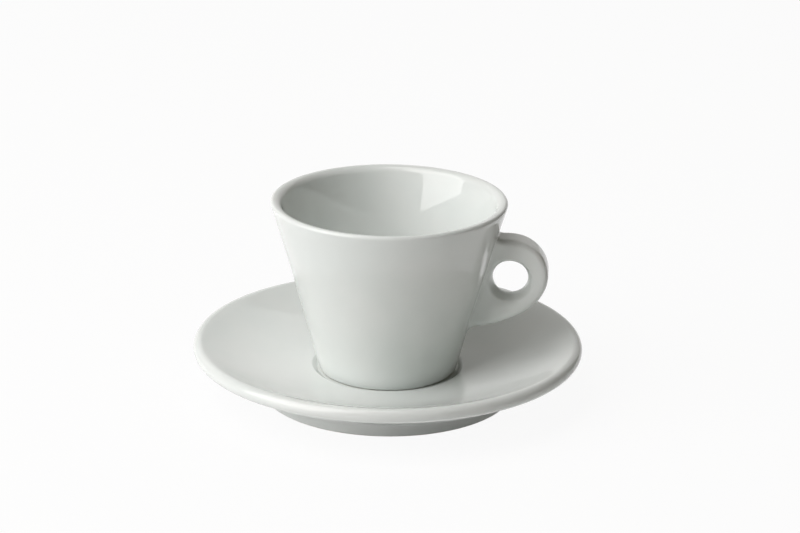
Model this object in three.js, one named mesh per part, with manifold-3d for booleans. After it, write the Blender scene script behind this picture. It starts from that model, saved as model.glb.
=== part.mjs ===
// Cappuccino cup with saucer, in white glazed porcelain.
// Millimetres, +Z up. The origin is the centre of the saucer's foot, on the table.
// The handle points along +X.

import * as THREE from 'three';
import { mergeVertices } from 'three/addons/utils/BufferGeometryUtils.js';
import Module from 'manifold-3d';

const wasm = await Module();
wasm.setup();

const degrees = Math.PI / 180;

// Saucer sizes
const saucerDiameter = 150;
const saucerHeight = 21;
const saucerBeadRadius = 2.72;
const saucerUnderSlope = 23.2 * degrees;
const saucerDishSlope = 24 * degrees;
const saucerInnerSlope = 3 * degrees;
const saucerFootDiameter = 98.4;
const saucerFootWidth = 4.6;
const saucerFootRounding = 0.9;
const saucerFootBlend = 5;
const saucerRecess = 3.4;
const saucerRecessTaper = 1.6;
const saucerFloorThickness = 5.6;
const wellDepth = 1.4;
const wellTaper = 2;
const wellEdgeRounding = 1.3;
const wellFloorRounding = 1;

// Cup sizes
const cupHeight = 68;
const rimDiameter = 90.1;
const lipOuterRadius = 1.2;
const lipInnerRadius = 2.75;
const rimFlare = 16.9 * degrees;
const baseDiameter = 52.8;
const baseRounding = 2;
const cupFootWidth = 5.4;
const cupFootRounding = 0.6;
const cupRecess = 1.6;
const cupRecessTaper = 1;
const cupFloorThickness = 6.5;
const insideFlare = 15.8 * degrees;
const insideRounding = 24;

// Handle sizes: the finger hole is set below the lip and out from the wall, and the rest from the hole
const handleThickness = 12.2;
const handleEdgeRadius = 2.4;
const fingerHoleDiameter = 13.6;
const fingerHoleFlare = 3.8;
const fingerHoleDrop = 29.2;
const fingerHoleReach = 9.8;
const handleRingRadius = 14.5;
const handleRingRise = 1.5;
const handleTopAngle = 95 * degrees;
const handleTailAngle = -33 * degrees;
const handleTailSlope = 10 * degrees;
const handleTailDrop = 20.5;
const handleTopFillet = 1.4;
const handleTailFillet = 2.8;

// Fits
const wellClearance = 2.9;
const slipJointGap = 0.3;

// How finely round shapes are divided
const turnSteps = 56;
const arcStep = 18 * degrees;
const ringStep = 8 * degrees;
const bendSteps = 6;
const edgeSteps = 4;

// The glaze
const porcelain = new THREE.MeshStandardMaterial({ color: 0xeceeea, roughness: 0.12, metalness: 0 });

// Marks a corner as the control point of one long curve between its two neighbours
const bend = 'bend';

// Where a corner's rounding starts and ends on the corner's two sides, and the rounding's centre.
function cornerArc(before, corner, after, radius) {
  const back = before.clone().sub(corner);
  const ahead = after.clone().sub(corner);
  const half = back.angleTo(ahead) / 2;
  const longest = Math.min(back.length(), ahead.length());
  const reach = Math.min(radius / Math.tan(half), longest);
  const bisector = back.clone().normalize().add(ahead.clone().normalize()).normalize();
  return {
    start: back.setLength(reach).add(corner),
    end: ahead.setLength(reach).add(corner),
    centre: bisector.multiplyScalar(reach / Math.cos(half)).add(corner),
  };
}

// The points of an arc about a centre, the short way round.
function arcPoints({ start, end, centre }, step = arcStep) {
  const from = start.clone().sub(centre);
  const to = end.clone().sub(centre);
  const turn = Math.atan2(from.cross(to), from.dot(to));
  const steps = Math.max(2, Math.ceil(Math.abs(turn) / step));
  const angles = Array.from({ length: steps + 1 }, (_, i) => (turn * i) / steps);
  return angles.map((angle) => start.clone().rotateAround(centre, angle));
}

// The points of an outline given by its corners, each [across, up, rounding or bend].
function outline(corners) {
  const at = corners.map(([across, up]) => new THREE.Vector2(across, up));
  const arcs = corners.map(([, , rounding], i) => {
    if (rounding === bend || !rounding) return { start: at[i], end: at[i], points: [at[i]] };
    const arc = cornerArc(at[i - 1], at[i], at[i + 1], rounding);
    return { ...arc, points: arcPoints(arc) };
  });
  return arcs.flatMap(({ points }, i) => {
    if (corners[i][2] !== bend) return points;
    const curve = new THREE.QuadraticBezierCurve(arcs[i - 1].end, at[i], arcs[i + 1].start);
    return curve.getPoints(bendSteps).slice(1, -1);
  });
}

// Where two sloping lines cross: one that rises outwards from a low point, and one that drops inwards
// from a high point.
function crossing([lowAcross, lowUp], lowSlope, [highAcross, highUp], highSlope) {
  const run = highUp - lowUp - (highAcross - lowAcross) * Math.tan(highSlope);
  const across = run / (Math.tan(lowSlope) - Math.tan(highSlope));
  return [lowAcross + across, lowUp + across * Math.tan(lowSlope)];
}

// A solid turned from an outline that starts and ends on the upright axis.
function turned(points) {
  return new THREE.LatheGeometry(points, turnSteps).rotateX(Math.PI / 2);
}

// Geometry with its shared vertices merged and its empty triangles dropped, as a solid that can be cut.
function solid(geometry) {
  const bare = geometry.clone();
  bare.deleteAttribute('normal');
  bare.deleteAttribute('uv');
  const merged = mergeVertices(bare);
  const index = Array.from(merged.index.array);
  const triangles = [];
  for (let i = 0; i < index.length; i += 3) {
    const [a, b, c] = index.slice(i, i + 3);
    if (a !== b && b !== c && c !== a) triangles.push(a, b, c);
  }
  const vertProperties = new Float32Array(merged.attributes.position.array);
  const triVerts = new Uint32Array(triangles);
  return new wasm.Manifold(new wasm.Mesh({ numProp: 3, vertProperties, triVerts }));
}

// A cut solid as geometry again.
function geometryOf(cut) {
  const { vertProperties, triVerts } = cut.getMesh();
  const geometry = new THREE.BufferGeometry();
  geometry.setAttribute('position', new THREE.BufferAttribute(new Float32Array(vertProperties), 3));
  geometry.setIndex(Array.from(triVerts));
  geometry.computeVertexNormals();
  return geometry;
}

// A named piece in the glaze.
function piece(name, geometry) {
  const mesh = new THREE.Mesh(geometry, porcelain.clone());
  mesh.name = name;
  return mesh;
}

// Saucer: foot ring, underside, rim bead, dish and well, turned as one outline
const wellFloorHeight = saucerRecess + saucerFloorThickness;

function saucer() {
  const rim = saucerDiameter / 2;
  const foot = saucerFootDiameter / 2;
  const footInner = foot - saucerFootWidth;
  const wellEdge = baseDiameter / 2 + wellClearance;
  const wellTop = wellFloorHeight + wellDepth;
  const beadLow = saucerHeight - saucerBeadRadius * (1 + Math.tan((Math.PI / 2 - saucerUnderSlope) / 2));
  const beadInner = rim - saucerBeadRadius * (1 + Math.tan(saucerDishSlope / 2));
  const footTop = beadLow - (rim - foot) * Math.tan(saucerUnderSlope);
  const dishTurn = crossing(
    [wellEdge, wellTop], saucerInnerSlope, [beadInner, saucerHeight], saucerDishSlope);
  return turned(outline([
    [0, saucerRecess],
    [footInner - saucerRecessTaper, saucerRecess, saucerRecessTaper],
    [footInner, 0, saucerFootRounding],
    [foot, 0, saucerFootRounding],
    [foot, footTop, saucerFootBlend],
    [rim, beadLow, saucerBeadRadius],
    [rim, saucerHeight, saucerBeadRadius],
    [beadInner, saucerHeight, saucerBeadRadius],
    [...dishTurn, bend],
    [wellEdge, wellTop, wellEdgeRounding],
    [wellEdge - wellTaper, wellFloorHeight, wellFloorRounding],
    [0, wellFloorHeight],
  ]));
}

// Cup body: its corners from the middle of the foot, up the outside to the lip, and down the inside
const lipTop = rimDiameter / 2 - lipOuterRadius;
const lipOuter = lipTop + (lipOuterRadius * (1 + Math.sin(rimFlare))) / Math.cos(rimFlare);
const lipInner = lipTop - (lipInnerRadius * (1 - Math.sin(insideFlare))) / Math.cos(insideFlare);
const floorEdge = lipInner - (cupHeight - cupFloorThickness) * Math.tan(insideFlare);
const middleIn = (cupHeight / 2) * Math.tan(rimFlare);
const base = baseDiameter / 2;
const cupFootInner = base - cupFootWidth;

const cupOutside = [
  [base, 0, baseRounding],
  [lipOuter - middleIn, cupHeight / 2, bend],
  [lipOuter, cupHeight, lipOuterRadius],
];

function cupBody() {
  return turned(outline([
    [0, cupRecess],
    [cupFootInner - cupRecessTaper, cupRecess, cupRecessTaper],
    [cupFootInner, 0, cupFootRounding],
    ...cupOutside,
    [lipInner, cupHeight, lipInnerRadius],
    [floorEdge, cupFloorThickness, insideRounding],
    [0, cupFloorThickness],
  ]));
}

// The cup's outer wall as the outline of a full block
const cupBlock = outline([[0, 0], ...cupOutside, [0, cupHeight]]);

// The point of the cup's outer wall at a height above the foot, moved along the wall by a distance.
function onWall(height, distance = 0) {
  const above = cupBlock.findIndex((point) => point.y > height);
  const low = cupBlock[above - 1];
  const along = cupBlock[above].clone().sub(low);
  const there = along.clone().multiplyScalar((height - low.y) / along.y).add(low);
  return along.setLength(Math.abs(distance)).multiplyScalar(Math.sign(distance)).add(there);
}

// Handle: a thick ring with a tail down to the wall, seen from the side
function handleOutline(hole) {
  const ringCentre = hole.clone().add(new THREE.Vector2(0, handleRingRise));
  const ringSide = ringCentre.clone().add(new THREE.Vector2(handleRingRadius, 0));
  const ringTop = ringSide.clone().rotateAround(ringCentre, handleTopAngle);
  const ringTail = ringSide.clone().rotateAround(ringCentre, handleTailAngle);
  const ring = arcPoints({ start: ringTail, end: ringTop, centre: ringCentre }, ringStep);

  // The top edge runs straight from the ring to the wall, and the tail bends down to the wall
  const topRun = ringTop.x - onWall(ringTop.y).x;
  const topRoot = onWall(ringTop.y + topRun / Math.tan(handleTopAngle));
  const tailRoot = onWall(hole.y - handleTailDrop);
  const tailTurn = crossing([...tailRoot], handleTailSlope, [...ringTail], Math.PI / 2 + handleTailAngle);

  // Behind the wall the outline is closed off square, deep enough for the rounded edges
  const aboveTop = onWall(topRoot.y, handleTopFillet);
  const belowTail = onWall(tailRoot.y, -handleTailFillet);
  const behind = belowTail.x - 2 * handleEdgeRadius;
  const tail = outline([
    [behind, belowTail.y],
    [...belowTail],
    [...tailRoot, handleTailFillet],
    [...tailTurn, bend],
    [...ringTail],
  ]);
  const top = outline([
    [...ringTop],
    [...topRoot, handleTopFillet],
    [...aboveTop],
    [behind, aboveTop.y],
  ]);
  return [...tail, ...ring.slice(1, -1), ...top];
}

function cupHandle() {
  const holeCentre = onWall(cupHeight - fingerHoleDrop).add(new THREE.Vector2(fingerHoleReach, 0));
  const side = handleThickness / 2;

  // A slab with round edges
  const slab = new THREE.ExtrudeGeometry(new THREE.Shape(handleOutline(holeCentre)), {
    depth: handleThickness - 2 * handleEdgeRadius,
    bevelThickness: handleEdgeRadius,
    bevelSize: handleEdgeRadius,
    bevelOffset: -handleEdgeRadius,
    bevelSegments: edgeSteps,
  });
  slab.translate(0, 0, handleEdgeRadius - side).rotateX(Math.PI / 2);

  // The finger hole, which widens in one sweep from its middle to both mouths
  const throat = fingerHoleDiameter / 2;
  const mouth = throat + fingerHoleFlare;
  const hole = new THREE.LatheGeometry(outline([
    [0, -handleThickness],
    [mouth, -handleThickness],
    [mouth, -side],
    [throat, -side, bend],
    [throat, 0],
    [throat, side, bend],
    [mouth, side],
    [mouth, handleThickness],
    [0, handleThickness],
  ]), turnSteps / 2).translate(holeCentre.x, 0, holeCentre.y);

  // The root follows the cup's wall, a slip joint away from it
  const block = turned(cupBlock.map(({ x, y }) => new THREE.Vector2(x && x + slipJointGap, y)));
  return geometryOf(solid(slab).subtract(solid(hole)).subtract(solid(block)));
}

// The cup stands on the floor of the saucer's well
const cup = new THREE.Group();
cup.position.z = wellFloorHeight;
cup.add(piece('cup_body', cupBody()), piece('cup_handle', cupHandle()));

const cupWithSaucer = new THREE.Group();
cupWithSaucer.add(piece('saucer', saucer()), cup);

export default cupWithSaucer;
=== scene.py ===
# A cappuccino cup in its saucer: two turned rounds of glazed porcelain, and a ring handle on the cup.
from math import atan, cos, pi, radians, sin, tan, tau
import bmesh
import bpy
from mathutils import Matrix, Vector


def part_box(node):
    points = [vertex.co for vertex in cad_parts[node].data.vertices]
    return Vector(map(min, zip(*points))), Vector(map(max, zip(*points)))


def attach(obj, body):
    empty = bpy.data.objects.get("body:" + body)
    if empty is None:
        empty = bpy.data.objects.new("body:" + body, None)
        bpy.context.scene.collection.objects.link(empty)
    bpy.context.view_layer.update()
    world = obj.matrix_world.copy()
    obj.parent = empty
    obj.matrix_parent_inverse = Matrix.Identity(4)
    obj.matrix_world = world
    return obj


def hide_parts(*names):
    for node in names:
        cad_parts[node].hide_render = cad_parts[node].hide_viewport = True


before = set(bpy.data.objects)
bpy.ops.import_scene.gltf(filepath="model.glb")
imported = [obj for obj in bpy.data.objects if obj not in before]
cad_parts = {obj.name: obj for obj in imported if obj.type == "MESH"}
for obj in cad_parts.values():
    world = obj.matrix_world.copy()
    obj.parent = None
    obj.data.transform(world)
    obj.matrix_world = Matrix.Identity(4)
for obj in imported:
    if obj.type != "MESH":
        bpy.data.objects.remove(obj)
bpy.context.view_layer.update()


# Saucer
# One round of hard-paste porcelain, pressed and turned against a template, under a clear glaze that is
# wiped off the bottom of its foot ring. It stands on that ring, and the well in its middle takes the cup.
saucer_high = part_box("saucer")[1]
rim_radius = saucer_high.x
rim_height = saucer_high.z
bead_radius = 0.00272
under_slope = radians(23.2)
dish_slope = radians(24)
well_slope = radians(3)
foot_radius = 0.0492
foot_width = 0.0046
foot_rounding = 0.0009
foot_blend = 0.005
foot_recess = 0.0034
recess_taper = 0.0016
well_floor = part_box("cup_body")[0].z
well_depth = 0.0014
well_radius = 0.0293
well_taper = 0.002
well_edge_rounding = 0.0013
well_floor_rounding = 0.001
disc_radius = 0.016


def arc(centre, radius, start, end, steps):
    """Points of a profile along a round stretch, from one angle to the other."""
    angles = [start + (end - start) * i / steps for i in range(steps + 1)]
    return [centre + radius * Vector((cos(a), sin(a))) for a in angles]


def bow(start, pull, end, steps):
    """Points of a profile along a gentle bend whose two ends both head for one pull."""
    shares = [i / steps for i in range(steps + 1)]
    return [start * (1 - t) ** 2 + pull * 2 * t * (1 - t) + end * t ** 2 for t in shares]


def round_off(before, corner, after, rounding, steps):
    """Points of a profile round a corner between two straight stretches."""
    back, ahead = (before - corner).normalized(), (after - corner).normalized()
    half_turn = (pi - back.angle(ahead)) / 2
    reach = rounding * tan(half_turn)
    centre = corner + (back + ahead).normalized() * rounding / cos(half_turn)
    first = (corner + back * reach - centre).normalized()
    last = (corner + ahead * reach - centre).normalized()
    return [centre + rounding * first.slerp(last, i / steps) for i in range(steps + 1)]


def fullness(sides):
    """How much wider a ring of so many sides starts, because smoothing draws it in."""
    return 3 / (2 + cos(tau / sides))


def turned(name, profile, sides=64, smoothing=2):
    """Pull a disc out ring by ring along a profile of (radius, height), close its middle and smooth it."""
    bpy.ops.object.select_all(action="DESELECT")
    first_radius = profile[0].x * fullness(sides)
    bpy.ops.mesh.primitive_circle_add(vertices=sides, radius=first_radius, fill_type="NGON")
    piece = bpy.context.object
    piece.name = piece.data.name = name
    bpy.ops.object.mode_set(mode="EDIT")
    bpy.ops.mesh.select_mode(type="EDGE")
    bpy.ops.mesh.select_all(action="SELECT")
    bpy.ops.transform.translate(value=(0, 0, profile[0].y))
    for ring, following in zip(profile, profile[1:]):
        bpy.ops.mesh.extrude_edges_move(TRANSFORM_OT_translate={"value": (0, 0, following.y - ring.y)})
        widening = following.x / ring.x
        bpy.ops.transform.resize(value=(widening, widening, 1), center_override=(0, 0, following.y))
    bpy.ops.mesh.edge_face_add()
    bpy.ops.mesh.select_all(action="SELECT")
    bpy.ops.mesh.normals_make_consistent(inside=False)
    bpy.ops.object.mode_set(mode="OBJECT")
    return smoothed(piece, smoothing)


def smoothed(piece, levels):
    """Round a piece's cage out to its even, glazed surface."""
    surface = piece.modifiers.new("surface", "SUBSURF")
    surface.levels = surface.render_levels = levels
    bpy.ops.object.modifier_apply(modifier=surface.name)
    bpy.ops.object.shade_smooth()
    return piece


bead_centre = Vector((rim_radius - bead_radius, rim_height - bead_radius))
bead = arc(bead_centre, bead_radius, under_slope - pi / 2, dish_slope + pi / 2, 10)
foot_top = bead[0].y - (bead[0].x - foot_radius) * tan(under_slope)
disc_edge = Vector((disc_radius, foot_recess))
recess_corner = Vector((foot_radius - foot_width - recess_taper, foot_recess))
foot_inside = Vector((foot_radius - foot_width, 0))
foot_outside = Vector((foot_radius, 0))
foot_root = Vector((foot_radius, foot_top))
well_rim = Vector((well_radius, well_floor + well_depth))
well_corner = Vector((well_radius - well_taper, well_floor))
well_middle = Vector((disc_radius, well_floor))
dish_rise = bead[-1].y - well_rim.y - (bead[-1].x - well_rim.x) * tan(well_slope)
dish_pull_out = bead[-1].x - dish_rise / (tan(dish_slope) - tan(well_slope))
dish_pull = Vector((dish_pull_out, well_rim.y + (dish_pull_out - well_rim.x) * tan(well_slope)))
foot_curve = round_off(foot_outside, foot_root, bead[0], foot_blend, 4)
well_edge = round_off(dish_pull, well_rim, well_corner, well_edge_rounding, 3)
saucer_profile = [
    disc_edge,
    *round_off(disc_edge, recess_corner, foot_inside, recess_taper, 3),
    *round_off(recess_corner, foot_inside, foot_outside, foot_rounding, 3),
    *round_off(foot_inside, foot_outside, foot_root, foot_rounding, 4),
    *foot_curve,
    *bow(foot_curve[-1], (foot_curve[-1] + bead[0]) / 2, bead[0], 5)[1:-1],
    *bead,
    *bow(bead[-1], dish_pull, well_edge[0], 9)[1:-1],
    *well_edge,
    *round_off(well_rim, well_corner, well_middle, well_floor_rounding, 3),
    well_middle,
]
saucer = turned("saucer_porcelain", saucer_profile)


class Wire:
    """A socket of a shader node that takes part in plain arithmetic: each operator adds its Math node."""

    def __init__(self, tree, socket=None):
        self.tree, self.socket = tree, socket

    def node(self, kind, settings=None, sockets=None, out=0):
        """Add a node of a kind with its settings, then feed its sockets with values or wires."""
        made = self.tree.nodes.new(kind)
        for name, value in (settings or {}).items():
            setattr(made, name, value)
        for name, value in (sockets or {}).items():
            if isinstance(value, Wire):
                self.tree.links.new(value.socket, made.inputs[name])
            else:
                made.inputs[name].default_value = value
        return Wire(self.tree, made.outputs[out] if len(made.outputs) else None)

    def math(self, operation, *values):
        """Add a Math node on wires and numbers."""
        return self.node("ShaderNodeMath", {"operation": operation}, dict(enumerate(values)))

    def __add__(self, other):
        return self.math("ADD", self, other)

    def __radd__(self, other):
        return self.math("ADD", other, self)

    def __rsub__(self, other):
        return self.math("SUBTRACT", other, self)

    def __mul__(self, other):
        return self.math("MULTIPLY", self, other)

    def __rmul__(self, other):
        return self.math("MULTIPLY", other, self)

    def __gt__(self, other):
        return self.math("GREATER_THAN", self, other)

    def ramp(self, low, high):
        """Rise from 0 at one value to 1 at another, easing in and out."""
        return self.node("ShaderNodeMapRange", {"interpolation_type": "SMOOTHSTEP"},
                         {"Value": self, "From Min": low, "From Max": high})

    def blend(self, first, second):
        """Mix two colours by this wire."""
        return self.node("ShaderNodeMix", {"data_type": "RGBA"},
                         {"Factor": self, 6: first, 7: second}, out=2)

    def red(self):
        """The red of a colour wire, as one number."""
        return self.node("ShaderNodeSeparateColor", sockets={"Color": self})


def porcelain(name, bare_below):
    """Porcelain under a glaze that is wiped off below a height, or covers it all where this is None."""
    body_colour, thick_glaze_colour = (0.785, 0.82, 0.80, 1), (0.755, 0.80, 0.78, 1)
    speck_colour, bare_colour = (0.42, 0.37, 0.30, 1), (0.74, 0.71, 0.66, 1)
    glaze_roughness, pooled_roughness, bare_roughness = 0.012, 0.02, 0.62
    pooling_scale, ripple_scale, grain_scale, speck_scale = 28, 75, 1800, 130
    pool_starts, pool_full = 0.35, 0.65
    speck_core, speck_edge, specks_above = 0.015, 0.03, 0.94
    wiped_waver, wiped_fade = 0.0002, 0.0003
    wave_strength, wave_height = 0.03, 0.001
    material = bpy.data.materials.new(name)
    material.use_nodes = True
    material.node_tree.nodes.clear()
    pen = Wire(material.node_tree)
    place = pen.node("ShaderNodeTexCoord", out="Object")
    pooling = pen.node("ShaderNodeTexNoise", sockets={
        "Vector": place, "Scale": pooling_scale, "Detail": 3, "Roughness": 0.5})
    colour = pooling.ramp(pool_starts, pool_full).blend(body_colour, thick_glaze_colour)
    cells = {"Vector": place, "Scale": speck_scale}
    speck_near = pen.node("ShaderNodeTexVoronoi", sockets=cells)
    speck_pick = pen.node("ShaderNodeTexVoronoi", sockets=cells, out="Color").red()
    speck = (1 - speck_near.ramp(speck_core, speck_edge)) * (speck_pick > specks_above)
    colour = speck.blend(colour, speck_colour)
    ripple = pen.node("ShaderNodeTexNoise", sockets={"Vector": place, "Scale": ripple_scale, "Detail": 1.5})
    roughness = glaze_roughness + pooled_roughness * pooling
    if bare_below is not None:
        height = pen.node("ShaderNodeSeparateXYZ", sockets={"Vector": place}, out="Z")
        grain = pen.node("ShaderNodeTexNoise", sockets={"Vector": place, "Scale": grain_scale, "Detail": 4})
        bare = 1 - (height + wiped_waver * ripple).ramp(bare_below, bare_below + wiped_fade)
        colour = bare.blend(colour, bare_colour)
        roughness = roughness + bare * (bare_roughness - glaze_roughness)
        ripple = ripple + bare * grain
    wave = pen.node("ShaderNodeBump", sockets={
        "Height": ripple, "Strength": wave_strength, "Distance": wave_height})
    shader = pen.node("ShaderNodeBsdfPrincipled", sockets={
        "Base Color": colour, "Roughness": roughness, "Normal": wave})
    pen.node("ShaderNodeOutputMaterial", sockets={"Surface": shader})
    return material


saucer_bare_height = 0.0004
saucer.data.materials.append(porcelain("saucer_glaze", saucer_bare_height))
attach(saucer, "saucer")
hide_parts("saucer")


# Cup body
# One round of the same porcelain, turned inside a mould. Its lip has a tight outer edge and a wide inner
# roll, its wall flares a little hollow, and its low bare foot ring stands in the saucer's well.
cup_low, cup_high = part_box("cup_body")
seat = cup_low.z
cup_height = cup_high.z - cup_low.z
base_radius = 0.0264
waist_radius = 0.03513
brim_radius = 0.04546
base_rounding = 0.002
low_wall_rise = 0.008
wall_steps = 9
lip_outer_radius, lip_inner_radius = 0.0012, 0.0033
cup_foot_width = 0.0054
cup_foot_rounding = 0.0006
cup_recess = 0.0016
cup_recess_taper = 0.001
cup_floor = 0.0065
inside_flare = radians(15.8)
inside_rounding = 0.024
cup_disc_radius = 0.004


def wall_radius(height):
    """The radius of the cup's outside at a height above the table."""
    t = (height - seat) / cup_height
    return base_radius * (1 - t) ** 2 + waist_radius * 2 * t * (1 - t) + brim_radius * t ** 2


flare = atan(2 * (brim_radius - waist_radius) / cup_height)
lip_top = brim_radius - lip_outer_radius * (1 + sin(flare)) / cos(flare)
lip_edge_middle = Vector((lip_top, cup_high.z - lip_outer_radius))
lip_outside = arc(lip_edge_middle, lip_outer_radius, -flare, pi / 2, 5)
lip_roll_middle = Vector((lip_top, cup_high.z - lip_inner_radius))
lip_inside = arc(lip_roll_middle, lip_inner_radius, pi / 2, pi - inside_flare, 5)
cup_disc_edge = Vector((cup_disc_radius, seat + cup_recess))
cup_recess_corner = Vector((base_radius - cup_foot_width - cup_recess_taper, seat + cup_recess))
cup_foot_inside = Vector((base_radius - cup_foot_width, seat))
base_corner = Vector((base_radius, seat))
low_wall = Vector((wall_radius(seat + low_wall_rise), seat + low_wall_rise))
inside_drop = lip_inside[-1].y - seat - cup_floor
floor_corner = Vector((lip_inside[-1].x - inside_drop * tan(inside_flare), seat + cup_floor))
floor_middle = Vector((cup_disc_radius, seat + cup_floor))
inside_curve = round_off(lip_inside[-1], floor_corner, floor_middle, inside_rounding, 7)
inside_wall = bow(lip_inside[-1], (lip_inside[-1] + inside_curve[0]) / 2, inside_curve[0], 7)
wall_rise = lip_outside[0].y - low_wall.y
wall_heights = [low_wall.y + wall_rise * i / wall_steps for i in range(wall_steps)]
cup_profile = [
    cup_disc_edge,
    *round_off(cup_disc_edge, cup_recess_corner, cup_foot_inside, cup_recess_taper, 3),
    *round_off(cup_recess_corner, cup_foot_inside, base_corner, cup_foot_rounding, 3),
    *round_off(cup_foot_inside, base_corner, low_wall, base_rounding, 5),
    *[Vector((wall_radius(height), height)) for height in wall_heights],
    *lip_outside,
    *lip_inside[1:],
    *inside_wall[1:-1],
    *inside_curve,
    floor_middle,
]
cup = turned("cup_porcelain", cup_profile)
cup_bare_height = seat + saucer_bare_height
cup.data.materials.append(porcelain("cup_glaze", cup_bare_height))
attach(cup, "cup")
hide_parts("cup_body")


# Handle
# A thick ring of porcelain cast by itself, with one round finger hole whose mouths open out like a bell.
# Its root is stuck to the leather-hard cup with slip, which fills the joint to a soft corner, and the glaze
# runs over both. Its half cage runs in columns round the hole, and a mirror makes the other half.
handle_half = 0.0061
web_recess = 0.0011
columns = 24
top_edge, tail_edge = 0.0023, 0.0030
hole_radius = 0.00665 * fullness(columns)
hole_bell = 0.0025
bell_section = ((0, 0), (0.064, 0.28), (0.224, 0.525), (0.48, 0.77), (0.70, 0.918), (1, 1))
bell_share, mouth_columns = 0.94, 3.5
hole_drop, hole_reach = 0.0292, 0.0098
hole_height = cup_high.z - hole_drop
hole_out = wall_radius(hole_height) + hole_reach
ring_radius = 0.0145 * fullness(columns)
ring_rise = 0.0015
ring_end = radians(-33)
tail_slope = radians(10)
top_root_drop, tail_root_drop = 0.0133, 0.0497
tail_root_height = cup_high.z - tail_root_drop
top_root_height = cup_high.z - top_root_drop
top_root_lift, top_root_facing = 0.0002, Vector((-0.08, 1)).normalized()
web_share = 0.42
side_corner, top_corner, tail_corner = 0.0020, 0.0032, 0.0048
step = tau / columns
top_column, tail_column, low_columns = 7, 16, 2
hole_centre = Vector((hole_out, hole_height))
ring_centre = hole_centre + Vector((0, ring_rise))
tail_start = ring_centre + ring_radius * Vector((cos(ring_end), sin(ring_end)))
tail_end = Vector((wall_radius(tail_root_height), tail_root_height))
ring_end_heading = Vector((sin(ring_end), -cos(ring_end)))
tail_heading = Vector((cos(tail_slope), sin(tail_slope)))
crossing = (tail_end - tail_start).cross(tail_heading) / ring_end_heading.cross(tail_heading)
tail_pull = tail_start + ring_end_heading * crossing
tail_share = 0.86


def handle_edge(column):
    """The handle's outline at a column round the hole, and the way it faces, in the handle's plane."""
    if column == top_column:
        point = Vector((wall_radius(top_root_height) + top_corner, top_root_height + top_root_lift))
        return point, top_root_facing
    if column < top_column or column >= columns - low_columns:
        place = (column + low_columns) % columns - low_columns
        turn = place * (step if column < top_column else -ring_end / low_columns)
        facing = Vector((cos(turn), sin(turn)))
        return ring_centre + ring_radius * facing, facing
    tail_columns = columns - low_columns - tail_column
    share = (columns - low_columns - column) / tail_columns * tail_share
    point = tail_start * (1 - share) ** 2 + tail_pull * 2 * share * (1 - share) + tail_end * share ** 2
    along = (tail_pull - tail_start) * (1 - share) + (tail_end - tail_pull) * share
    return point, Vector((-along.y, along.x)).normalized()


def on_wall(across, height, depth=0.0):
    """A point on the cup's outside, or a depth under it, at a distance across from the handle's plane."""
    radius = wall_radius(height) - depth
    return Vector(((radius ** 2 - across ** 2) ** 0.5, across, height))


def web_side(column):
    """Where the side of the handle's web stops short of the wall, on a column that looks at the cup."""
    ray = Vector((cos(column * step), sin(column * step)))
    reach, settle_rounds, settle_rate = hole_bell, 8, 0.9
    for _ in range(settle_rounds):
        point = hole_centre + ray * reach
        reach += (point.x - wall_radius(point.y)) * settle_rate
    gap = min(side_corner, (reach - hole_radius) * web_share)
    return hole_centre + ray * (reach - gap)


def handle_places(column):
    """Corners of the handle's half section on one column, from the hole's middle out and over its side."""
    ray = Vector((cos(column * step), sin(column * step)))
    at_web = top_column < column < tail_column
    if at_web:
        side, side_across = web_side(column), handle_half - web_recess
        mouth_across = side_across
    else:
        edge, facing = handle_edge(column)
        down_strap = ((top_column - column) % columns / (top_column - tail_column + columns)) ** 2
        edge_radius = top_edge + (tail_edge - top_edge) * down_strap
        side, side_across = edge - facing * edge_radius, handle_half
        from_tail = (column - tail_column) % columns
        mouth_across = handle_half - web_recess * max(0, 1 - from_tail / mouth_columns)
    bell = min(hole_bell, ((side - hole_centre).length - hole_radius) * bell_share)
    section = []
    for out, across in bell_section:
        section.append((hole_centre + ray * (hole_radius + bell * out), mouth_across * across))
    section.append((side, side_across))
    if not at_web:
        for turn in (pi / 6, pi / 3, pi / 2):
            back = edge_radius * (1 - sin(turn))
            section.append((edge - facing * back, handle_half - edge_radius * (1 - cos(turn))))
        section.append((edge, 0.0))
    return [Vector((point.x, -across, point.y)) for point, across in section]


places = [handle_places(column) for column in range(columns)]
side_rows = len(bell_section) + 1
all_rows = max(len(column) for column in places)
bpy.ops.object.select_all(action="DESELECT")
bpy.ops.mesh.primitive_circle_add(vertices=columns, radius=hole_radius)
handle = bpy.context.object
handle.name = handle.data.name = "handle_porcelain"
bpy.ops.object.mode_set(mode="EDIT")
bpy.ops.mesh.select_mode(type="VERT")
bpy.ops.mesh.select_all(action="SELECT")
cage = bmesh.from_edit_mesh(handle.data)
column_of = cage.verts.layers.int.new("column")
for corner in cage.verts:
    corner[column_of] = round((Vector((1, 0)).angle_signed(corner.co.xy) * -1 % tau) / step) % columns
    corner.co = places[corner[column_of]][0]
for row in range(1, all_rows):
    bpy.ops.mesh.extrude_edges_move()
    cage = bmesh.from_edit_mesh(handle.data)
    column_of = cage.verts.layers.int["column"]
    for corner in [corner for corner in cage.verts if corner.select]:
        corner.co = places[corner[column_of]][row]
        if row == side_rows - 1 and top_column < corner[column_of] < tail_column:
            corner.select = False
    cage.select_flush_mode()
    bmesh.update_edit_mesh(handle.data)
bpy.ops.object.mode_set(mode="OBJECT")
other_half = handle.modifiers.new("other_half", "MIRROR")
other_half.use_axis = (False, True, False)
other_half.merge_threshold = 0.00001
bpy.ops.object.modifier_apply(modifier=other_half.name)


# Each ring of the root: how far out over the wall, in corners, and how deep under its surface.
root_rings = ((0, 0), (1, 0), (1.7, 0.00003), (2.4, 0.00012), (1.2, 0.0010), (0, 0.0018))


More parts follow.
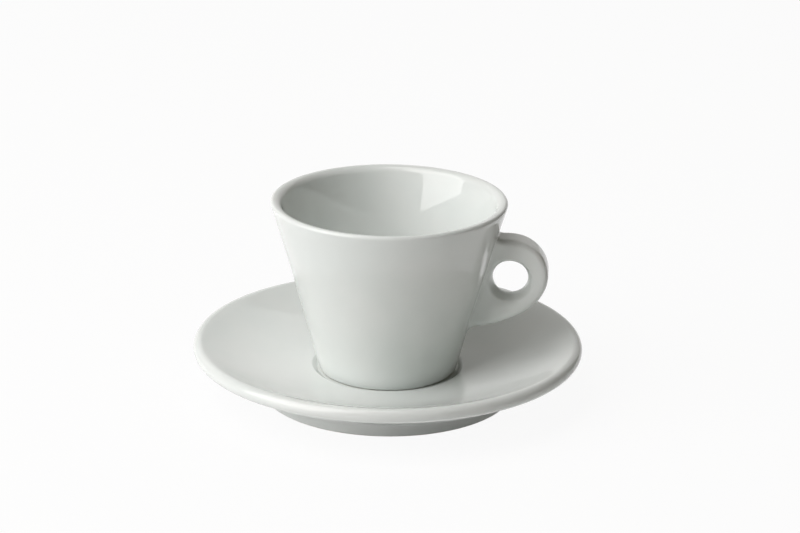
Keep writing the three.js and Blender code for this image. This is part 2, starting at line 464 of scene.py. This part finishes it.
def root_facing(corner):
    """The way that the handle's skin faces at its root, in the wall's own across and up."""
    inner = handle_half - top_edge if corner.z > hole_height else handle_half - tail_edge
    core = Vector((max(-inner, min(inner, corner.y)),
                   max(tail_root_height + tail_edge, min(top_root_height - top_edge, corner.z))))
    return (corner.yz - core).normalized()


def root_ring(corner, ring):
    """Where a corner of the root goes on one of the rings that lead it out over the wall and into it."""
    facing = root_facing(corner)
    reach = side_corner * facing.x ** 2 + (top_corner if facing.y > 0 else tail_corner) * facing.y ** 2
    drop = tan(tail_slope) * tail_corner * max(0, -facing.y)
    out, depth = root_rings[ring]
    run = reach * min(out, 1) + side_corner * max(0, out - 1)
    return on_wall(corner.y + facing.x * run, corner.z - drop + facing.y * run, depth)


bpy.ops.object.mode_set(mode="EDIT")
bpy.ops.mesh.select_all(action="DESELECT")
bpy.ops.mesh.select_mode(type="EDGE")
bpy.ops.mesh.select_non_manifold(extend=False)
cage = bmesh.from_edit_mesh(handle.data)
root_start = cage.verts.layers.float_vector.new("root_start")
for corner in cage.verts:
    corner[root_start] = corner.co
for ring in range(len(root_rings)):
    bpy.ops.mesh.extrude_edges_move()
    cage = bmesh.from_edit_mesh(handle.data)
    root_start = cage.verts.layers.float_vector["root_start"]
    for corner in [corner for corner in cage.verts if corner.select]:
        corner.co = root_ring(corner[root_start], ring)
    bmesh.update_edit_mesh(handle.data)
bpy.ops.mesh.edge_face_add()
bpy.ops.mesh.select_all(action="SELECT")
bpy.ops.mesh.normals_make_consistent(inside=False)
bpy.ops.object.mode_set(mode="OBJECT")
smoothed(handle, 3)
handle.data.materials.append(porcelain("handle_glaze", None))
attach(handle, "cup")
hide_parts("cup_handle")


# Stage
# A white table in a dim room. One large soft box stands on the left, a small one hangs overhead, and the
# white backdrop behind the cup throws some light back.
table_size = 6.0
table_whiteness = 0.93
white, paper_colour, room_colour = (1, 1, 1, 1), (0.85, 0.85, 0.85, 1), (1, 0.85, 0.65, 1)
room_strength = 0.07
bpy.ops.object.select_all(action="DESELECT")
bpy.ops.mesh.primitive_plane_add(size=table_size)
table = bpy.context.object
table.name = "table"
paper = bpy.data.materials.new("white_paper")
paper.use_nodes = True
paper.node_tree.nodes.clear()
pen = Wire(paper.node_tree)
seen = pen.node("ShaderNodeLightPath", out="Is Camera Ray")
for ray in ("Is Glossy Ray", "Is Transmission Ray"):
    seen = pen.math("MAXIMUM", seen, pen.node("ShaderNodeLightPath", out=ray))
matt = pen.node("ShaderNodeBsdfDiffuse", sockets={"Color": paper_colour})
bright = pen.node("ShaderNodeEmission", sockets={"Color": white, "Strength": 1.0})
sheet = pen.node("ShaderNodeMixShader", sockets={0: seen * table_whiteness, 1: matt, 2: bright})
pen.node("ShaderNodeOutputMaterial", sockets={"Surface": sheet})
table.data.materials.append(paper)

room = bpy.data.worlds.new("room")
bpy.context.scene.world = room
room.use_nodes = True
room.node_tree.nodes.clear()
pen = Wire(room.node_tree)
seen = pen.node("ShaderNodeLightPath", out="Is Camera Ray")
shade = pen.node("ShaderNodeBackground", sockets={"Color": room_colour, "Strength": room_strength})
bright = pen.node("ShaderNodeBackground", sockets={"Color": white, "Strength": 1.0})
view = pen.node("ShaderNodeMixShader", sockets={0: seen, 1: shade, 2: bright})
pen.node("ShaderNodeOutputWorld", sockets={"Surface": view})

camera_turn = radians(4.5)
lamp_target = Vector((0, 0, 0.045))
warm_white = (1, 0.975, 0.975)


def lamp(name, azimuth, elevation, distance, width, height, radiance, colour=(1, 1, 1)):
    """A soft box that looks at the cup from degrees to the left of the camera and degrees up."""
    light = bpy.data.lights.new(name, "AREA")
    light.shape = "RECTANGLE"
    light.size, light.size_y = width, height
    light.energy = radiance * pi * width * height
    light.color = colour
    box = bpy.data.objects.new(name, light)
    bpy.context.scene.collection.objects.link(box)
    az, el = radians(azimuth) - camera_turn, radians(elevation)
    way = Vector((-sin(az) * cos(el), -cos(az) * cos(el), sin(el)))
    box.location = lamp_target + way * distance
    box.rotation_euler = (-way).to_track_quat("-Z", "Y").to_euler()


lamp("softbox", azimuth=63, elevation=37, distance=1.3, width=1.28, height=1.54,
     radiance=3.4, colour=warm_white)
lamp("ceiling", azimuth=70, elevation=80, distance=1.3, width=0.60, height=0.60,
     radiance=2.2, colour=warm_white)
lamp("backdrop", azimuth=178, elevation=20, distance=1.5, width=2.4, height=1.2, radiance=0.64)


# Camera
# It looks down on the cup from one metre away, with the handle almost square on to the right.
camera_distance = 1.0
camera_elevation = radians(19.56)
camera_roll = radians(-0.683)
aim = Vector((0.004352, 0, 0.049846))
forward = Vector((0, cos(camera_elevation), -sin(camera_elevation)))
right = Vector((1, 0, 0))
down = forward.cross(right)
level = right * cos(camera_roll) + down * sin(camera_roll)
plumb = down * cos(camera_roll) - right * sin(camera_roll)
stand = aim - forward * camera_distance
eye = bpy.data.cameras.new("camera")
eye.sensor_width = 36
eye.lens = 117.67
eye.clip_start = 0.01
camera = bpy.data.objects.new("camera", eye)
bpy.context.scene.collection.objects.link(camera)
pose = Matrix((level, -plumb, -forward)).transposed().to_4x4()
pose.translation = stand
camera.matrix_world = Matrix.Rotation(camera_turn, 4, "Z") @ pose
bpy.context.scene.camera = camera
bpy.context.scene.view_settings.view_transform = "Standard"
